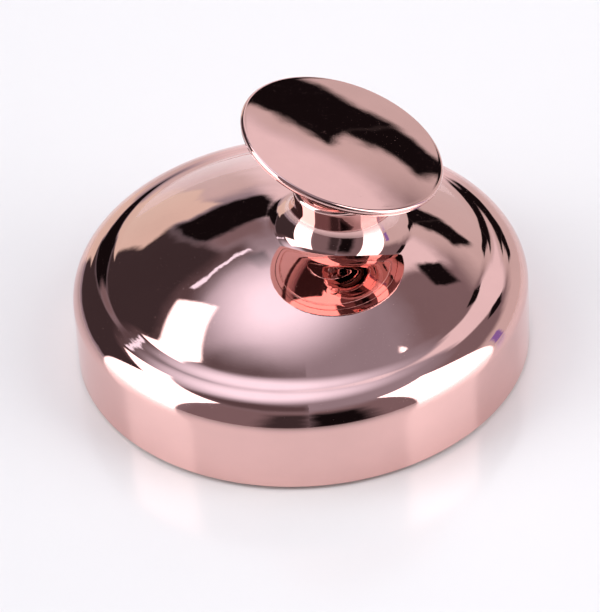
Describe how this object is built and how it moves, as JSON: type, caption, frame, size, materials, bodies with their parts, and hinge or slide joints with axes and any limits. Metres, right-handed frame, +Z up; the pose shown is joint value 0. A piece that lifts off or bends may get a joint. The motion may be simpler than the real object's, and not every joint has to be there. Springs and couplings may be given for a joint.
{
  "type": "blackhead vacuum extractor",
  "caption": "Palm-held round plated facial suction tool with a domed top, a short neck and a tilting, swivelling disc grip that presses a switch; removable suction tip underneath.",
  "frame": {"origin": "centre of the underside of the soft foot ring, on the housing axis, at the rest plane", "axes": "+Z up along the housing axis, +X towards the side that the disc grip is offset and tilted to, -Y the front"},
  "size_m": [0.08, 0.08, 0.0495],
  "materials": {
    "plated_shell": "mirror-polished rose-gold plating",
    "white_plastic": "natural acetal",
    "dark_plastic": "moulded, fine texture",
    "clear_tip": "clear polished plastic",
    "black_rubber": "matte seal rubber",
    "soft_rubber": "soft silicone",
    "filter_foam": "open-cell foam",
    "steel": "nickel-plated steel",
    "brass": "turned brass",
    "battery_foil": "foil pouch",
    "board_green": "solder resist"
  },
  "bodies": {
    "housing": {"housing_shell": "plated_shell", "neck_bush": "white_plastic", "base_plate": "plated_shell", "base_gasket": "black_rubber", "foot_ring": "soft_rubber", "base_screws": "steel", "nozzle": "white_plastic", "filter_pad": "filter_foam", "tip_seal": "black_rubber", "air_tube": "soft_rubber", "pump_body": "dark_plastic", "connecting_rod": "white_plastic", "diaphragm": "black_rubber", "valve_plate": "white_plastic", "pump_head": "dark_plastic", "pump_screws": "steel", "motor_can": "steel", "motor_end_cap": "dark_plastic", "motor_terminals": "brass", "motor_clamp": "steel", "clamp_screws": "steel", "battery_cell": "battery_foil", "battery_pad": "filter_foam", "circuit_board": "board_green", "board_screws": "steel", "board_chips": "dark_plastic", "charging_socket": "steel", "socket_board": "board_green", "switch_case": "dark_plastic", "return_spring": "steel"},
    "grip_press": {"grip_plunger": "white_plastic"},
    "switch_key": {"switch_button": "white_plastic"},
    "grip_swivel": {"grip_fork": "plated_shell", "fork_circlip": "steel", "swivel_washer": "brass", "friction_washers": "black_rubber"},
    "grip_head": {"grip_disc": "plated_shell", "disc_back": "plated_shell", "disc_screws": "plated_shell", "tilt_pin": "steel"},
    "pump_rotor": {"motor_shaft": "steel", "pump_eccentric": "brass"},
    "tip": {"suction_tip": "clear_tip"}
  },
  "joints": [
    {"name": "press", "type": "slide", "parent": "housing", "child": "grip_press", "axis": [0, 0, -1], "range_m": [0, 0.0009], "stiffness_N_per_m": 1500, "springref_m": -0.0012, "deforming": ["return_spring"]},
    {"name": "key_travel", "type": "slide", "parent": "housing", "child": "switch_key", "axis": [0, 0, -1], "range_m": [0, 0.0009], "stiffness_N_per_m": 10, "springref_m": -0.0002},
    {"name": "swivel", "type": "hinge", "parent": "grip_press", "child": "grip_swivel", "pos_m": [0.0078, 0, 0.0359], "axis": [0, 0, 1], "continuous": true},
    {"name": "tilt", "type": "hinge", "parent": "grip_swivel", "child": "grip_head", "pos_m": [0.0078, 0, 0.0403], "axis": [0, 1, 0], "range_deg": [-45, 5]},
    {"name": "pump_spin", "type": "hinge", "parent": "housing", "child": "pump_rotor", "pos_m": [-0.021, 0, 0.0089], "axis": [0, 1, 0], "continuous": true},
    {"name": "tip_pull", "type": "slide", "parent": "housing", "child": "tip", "axis": [0, 0, -1], "range_m": [0, 0.01]}
  ],
  "couplings": [
    {"joint": "key_travel", "follows": "press", "ratio": 1}
  ]
}
